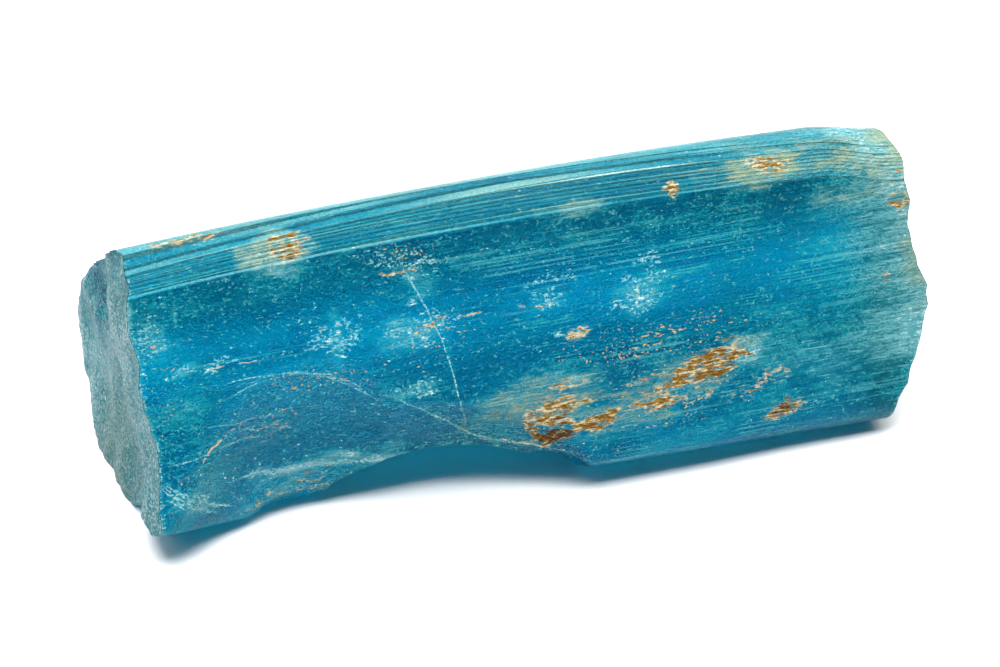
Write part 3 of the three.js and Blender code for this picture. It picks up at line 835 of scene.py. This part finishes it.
TOURMALINE_IOR = 1.63
GLOSS_TINT = (0.0, 0.62, 0.90, 1)     # the stone's own blue colours what its skin reflects
DEEP_BLUE = (0.0, 0.045, 0.135, 1)
MID_BLUE = (0.0, 0.085, 0.185, 1)
TEAL_BLUE = (0.0, 0.110, 0.145, 1)
GREEN_BLUE = (0.010, 0.115, 0.10, 1)
LIGHT_TEAL = (0.008, 0.26, 0.30, 1)
MILK_BLUE = (0.13, 0.41, 0.44, 1)
PALE_GREEN = (0.26, 0.31, 0.17, 1)
# Frost white, also used as the painted highlight on the spall's bevel.
FROST_AND_GLINT = (0.48, 0.62, 0.63, 1)
CREAM = (0.55, 0.48, 0.31, 1)
OCHRE = (0.27, 0.145, 0.015, 1)
RUST = (0.13, 0.058, 0.003, 1)
UMBER = (0.08, 0.028, 0.0, 1)
WHITE_DUST = (0.58, 0.72, 0.74, 1)
TAN_DUST = (0.50, 0.36, 0.15, 1)
TABLE_WHITE = (0.94, 0.94, 0.94, 1)

# What the clear stone does to light: at its skin, and for each metre inside.
FRONT_TINT_LEFT = (0.10, 0.60, 0.72, 1)
FRONT_TINT_RIGHT = (0.10, 0.65, 0.68, 1)
BACK_TINT = (0.45, 0.94, 0.97, 1)
DEEP_TINT = (0.05, 0.30, 0.50, 1)
INSIDE_BLUE = (0.0, 0.960, 0.978, 1)
INSIDE_DENSITY = 1200.0
GRAIN_DEPTH = 0.045           # millimetres

MARK_LAYERS = ("broken", "milk", "rust", "dark", "deep", "green", "dust", "chalk",
               "pale_lines", "stained_lines", "to_end", "bands", "mottle", "ledge")


def stone_noises(shader, place, x, mark):
    """The stone's textures: growth bands, mottle, growth lines, dashes, wisps, crumbs and grain."""
    lines = shader.cloud(place, (16.0, 0.11, 0.11), 8.0, 1.0, 0.7)
    ruled = 0.35 + 0.65 * shader.fade(x, -13.0, -4.0)
    return SimpleNamespace(
        bands=mark.bands,
        mottle=mark.mottle,
        lines=0.5 + (lines - 0.5) * ruled,
        dashes=shader.cloud(place, (0.9, 0.10, 0.10), 55.0, 0.0, 0.6),
        wisps=shader.cloud(place, (0.42, 0.20, 0.20), 27.0, 1.0, 0.75),
        crumbs=shader.cloud(place, (0.50, 0.24, 0.24), 34.0, 1.0, 0.8),
        grain=shader.cloud(place, (0.17, 0.12, 0.12), 21.0, 1.0, 0.8),
    )


def depth_of_blue(shader, mark, noise):
    """How deep the blue is at each spot: zones, painted shade on the left end's set-back block, growth
    bands and lines, dashes and flecks.
    """
    deep = mark.deep * (0.55 + 0.45 * noise.mottle)
    deep = deep.either(shader.fade(noise.bands + 0.6 * noise.mottle, 0.7, 0.2) * 0.65)
    lined = noise.lines + 0.3 * noise.bands - 0.15 * mark.dust
    deep = deep.either(shader.fade(lined, 0.52, 0.18) * 0.95)
    deep = deep.either(shader.fade(noise.grain + 0.7 * noise.crumbs, 0.95, 0.35) * 0.85)
    deep = deep.either(shader.fade(noise.wisps + noise.grain, 0.75, 0.35) * (0.3 + 0.6 * mark.broken))
    dashed = shader.fade(noise.dashes + 0.4 * noise.mottle - 0.12 * mark.broken, 0.48, 0.24)
    return deep.either(dashed * (0.4 + 0.6 * mark.broken))


def lightness_of_blue(shader, mark, noise):
    """How much each spot is flecked and streaked with lighter teal."""
    light = shader.fade(noise.grain + 0.7 * noise.crumbs + 0.5 * noise.mottle, 0.95, 1.6)
    streaked = noise.dashes + 0.5 * noise.wisps + 0.3 * mark.broken
    return light.either(shader.fade(streaked, 1.05, 1.4) * 0.9)


def haze_and_painted_light_share(shader, mark, noise, end_face, end_edge):
    """How milky each spot is: patches, pale hairs along the growth, treads, ends and bruises, with
    painted light on the ledge risers and a painted highlight on the spall's bevel.
    """
    texture = 0.40 + 0.25 * noise.crumbs + 0.25 * noise.lines + 0.25 * noise.grain
    haze_and_painted_light = mark.milk.either(mark.rust * 0.6) * texture
    dashed = noise.dashes + 0.4 * noise.lines + 0.8 * mark.milk
    haze_and_painted_light = haze_and_painted_light.either(shader.fade(dashed, 1.30, 1.85) * 0.8)
    haired = noise.lines + 0.5 * noise.mottle + 0.3 * noise.bands
    haze_and_painted_light = haze_and_painted_light.either(shader.fade(haired, 1.08, 1.55) * 0.5)
    # Ledge strips: the pale crest and treads, and the risers' painted light.
    ledge_pale_variation = 0.42 + 0.15 * noise.bands + 0.30 * noise.lines + 0.25 * noise.grain
    haze_and_painted_light = haze_and_painted_light.either(mark.ledge * ledge_pale_variation)
    flecked = noise.grain + 0.6 * noise.wisps + 0.3 * noise.crumbs + 0.20 * mark.broken
    haze_and_painted_light = haze_and_painted_light.either(shader.fade(flecked, 1.30, 1.65) * 0.55)
    fibrous = shader.fade(noise.wisps + 0.6 * noise.grain + 0.4 * mark.milk, 0.40, 1.30)
    # The deep marks also thin the end's haze, so the painted shade on the left end's set-back block
    # shows here too.
    haze_and_painted_light = haze_and_painted_light.either(end_face * (0.32 + 0.66 * fibrous) * (1 - 0.7 * mark.deep))
    haze_and_painted_light = haze_and_painted_light.either(end_edge * 0.9)
    frosted = noise.wisps + 0.9 * noise.grain + 0.4 * mark.chalk
    haze_and_painted_light = haze_and_painted_light.either(shader.fade(frosted, 1.25, 1.70) * shader.fade(mark.chalk, 0.10, 0.6) * 0.85)
    # Pale lines are borders, scratches and the vein, and along the bevel above the left foot they are a
    # painted highlight.
    scratched = abs(mark.pale_lines) + 1.6 * noise.grain + 0.6 * noise.wisps
    return haze_and_painted_light.either(shader.fade(scratched, 2.3, 1.2) * 0.90)


def stain_share(shader, mark, noise):
    """How much of each spot is stained by iron."""
    rusty = mark.rust + 0.6 * noise.crumbs + 0.3 * noise.dashes + 0.2 * noise.grain
    stained = shader.fade(rusty, 0.95, 1.45)
    return stained.either(shader.fade(abs(mark.stained_lines) + 2.4 * noise.crumbs, 2.0, 1.2))


def stain_colour(shader, mark, noise):
    """Cream where the stain is thin, ochre and rust where it is thick, umber in the pockets."""
    thick = 0.9 * mark.rust + 0.5 * noise.wisps + 0.5 * noise.dashes + 0.3 * noise.grain
    stain = shader.mix(shader.fade(thick, 1.15, 1.50), CREAM, OCHRE)
    stain = shader.mix(shader.fade(thick, 1.50, 1.90), stain, RUST)
    darkest = mark.dark + 0.6 * noise.crumbs + 0.4 * noise.dashes
    return shader.mix(shader.fade(darkest, 1.15, 1.75), stain, UMBER)


def tourmaline(origin):
    """Clear blue stone with milky ground, growth lines, iron stains and grit in its breaks."""
    shader = Shader(bpy.data.materials.new("tourmaline"))
    spot = shader.node("TexCoord", {}, {}, "Object")
    place = shader.scaled(spot, (1 / MM,) * 3, origin)
    x, y, z = shader.parts(place)
    mark = SimpleNamespace(**{name: shader.layer(name) for name in MARK_LAYERS})
    noise = stone_noises(shader, place, x, mark)
    end_face = shader.fade(mark.to_end, 0.06, 0.0)
    chipped = mark.to_end + 0.35 * noise.grain + 0.2 * noise.crumbs
    end_edge = shader.fade(chipped, 0.48, 0.20) * (1 - end_face)
    deep = depth_of_blue(shader, mark, noise)
    light = lightness_of_blue(shader, mark, noise)
    haze_and_painted_light = haze_and_painted_light_share(shader, mark, noise, end_face, end_edge)
    stained = stain_share(shader, mark, noise)

    # Grit: white grains and tan ones, thick where the stone is broken or bruised.
    dusty_lines = mark.dust * shader.fade(noise.lines + 0.4 * noise.crumbs, 0.9, 0.4)
    chalky = 0.03 * mark.broken + 0.28 * mark.chalk * noise.crumbs
    white = shader.fade(noise.wisps + noise.grain + chalky, 1.94, 2.03) * (1 - 0.7 * stained)
    gritty = noise.grain - noise.wisps + 0.03 * mark.broken + 0.60 * dusty_lines
    tan = shader.fade(gritty, 0.96, 1.06)

    right = shader.fade(x + 6 * noise.mottle, 3.0, 19.0)
    colour = shader.mix(right, MID_BLUE, TEAL_BLUE)
    colour = shader.mix(mark.green * 0.7, colour, GREEN_BLUE)
    colour = shader.mix(light * 0.8, colour, LIGHT_TEAL)
    colour = shader.mix(deep, colour, DEEP_BLUE)
    colour = shader.mix(shader.fade(haze_and_painted_light, 0.0, 0.45), colour, LIGHT_TEAL)
    milk = shader.mix(mark.green, MILK_BLUE, PALE_GREEN)
    colour = shader.mix(shader.fade(haze_and_painted_light, 0.25, 0.80), colour, milk)
    # The palest haze goes frost white; on the spall's bevel this white is a painted highlight.
    colour = shader.mix(shader.fade(haze_and_painted_light, 0.75, 1.05) * (1 - mark.green), colour, FROST_AND_GLINT)
    colour = shader.mix(stained, colour, stain_colour(shader, mark, noise))
    colour = shader.mix(tan, colour, TAN_DUST)
    colour = shader.mix(white, colour, WHITE_DUST)

    # The back and the underside are clearer than the front and let the light through.
    above_base = shader.fade(z, 2.0, 4.0).either(shader.fade(y, -6.5, -8.0))
    front = shader.fade(y, 1.0, -3.0) * above_base
    cloudy = 0.12 + 0.18 * front + 0.10 * noise.mottle + 0.30 * light
    cloudy = cloudy.either(haze_and_painted_light * 0.95).either(stained * 0.97).either(end_face * 0.8)
    cloudy = cloudy.either(white).either(tan)
    front_tint = shader.mix(right, FRONT_TINT_LEFT, FRONT_TINT_RIGHT)
    clear_tint = shader.mix(front, BACK_TINT, front_tint)
    clear_tint = shader.mix(deep, clear_tint, DEEP_TINT)

    rough = 0.6 * mark.broken + 2.4 * end_face
    normal = shader.bump((0.45 + 1.5 * rough) * noise.grain, GRAIN_DEPTH)
    gloss = {"Specular IOR Level": 0.15, "Specular Tint": GLOSS_TINT, "Normal": normal}
    clear = shader.node("BsdfPrincipled", {}, {
        "Base Color": clear_tint, "Roughness": 0.30, "IOR": TOURMALINE_IOR,
        "Transmission Weight": 1.0, **gloss})
    ground = shader.node("BsdfPrincipled", {}, {
        "Base Color": colour, "Roughness": 0.35 + 0.4 * stained, "IOR": 1.5, **gloss})
    surface = shader.node("MixShader", {}, {0: cloudy, 1: clear, 2: ground})
    inside = shader.node("VolumeAbsorption", {}, {"Color": INSIDE_BLUE, "Density": INSIDE_DENSITY})
    shader.node("OutputMaterial", {}, {"Surface": surface, "Volume": inside})
    return shader.owner


def table_white():
    """Matt white board."""
    shader = Shader(bpy.data.materials.new("table_white"))
    surface = shader.node("BsdfPrincipled", {}, {"Base Color": TABLE_WHITE, "Roughness": 0.6})
    shader.node("OutputMaterial", {}, {"Surface": surface})
    return shader.owner


# ---------------------------------------------------------------------------------------------
# Studio
# ---------------------------------------------------------------------------------------------

def make_table():
    """A wide white board a hair's breadth under the crystal's flat."""
    half, gap = 3.0, 0.01 * MM
    mesh = bpy.data.meshes.new("table")
    corners = [(-half, -half, -gap), (half, -half, -gap),
               (half, half, -gap), (-half, half, -gap)]
    mesh.from_pydata(corners, [], [(0, 1, 2, 3)])
    mesh.materials.append(table_white())
    table = bpy.data.objects.new("table", mesh)
    bpy.context.collection.objects.link(table)


def soft_light(name, direction, distance, size, power):
    """A rectangular soft box that faces the crystal from a direction."""
    towards = Vector(direction).normalized()
    box = bpy.data.lights.new(name, "AREA")
    box.shape, box.size, box.size_y, box.energy = "RECTANGLE", size[0], size[1], power
    lamp = bpy.data.objects.new(name, box)
    lamp.location = towards * distance
    lamp.rotation_euler = towards.to_track_quat("Z", "Y").to_euler()
    bpy.context.collection.objects.link(lamp)


def light_studio():
    """A soft box overhead, a weaker one behind the crystal, and a dim tent that is dark in front."""
    shader = Shader(bpy.data.worlds.new("tent"))
    direction = shader.node("TexCoord", {}, {}, "Generated")
    _, back, height = shader.parts(direction)
    lit = shader.fade(height, 0.20, 0.60) * shader.fade(back + 0.55 * height, -0.1, 0.5)
    white = shader.mix(lit, (0.02, 0.03, 0.04, 1), (1.0, 1.0, 1.0, 1))
    tent = shader.node("Background", {}, {"Color": white, "Strength": 1.0})
    shader.node("OutputWorld", {}, {"Surface": tent})
    bpy.context.scene.world = shader.owner
    soft_light("above", (0.0, 0.0, 1.0), 0.60, (0.60, 0.42), 7.4)
    soft_light("behind", (0.10, 0.70, 0.70), 0.60, (0.60, 0.40), 1.7)
    bpy.context.scene.view_settings.view_transform = "Standard"


place_camera()
crystal, origin = make_crystal()
crystal.data.materials.append(tourmaline(origin))
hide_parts("crystal")
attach(crystal, "root")
make_table()
light_studio()
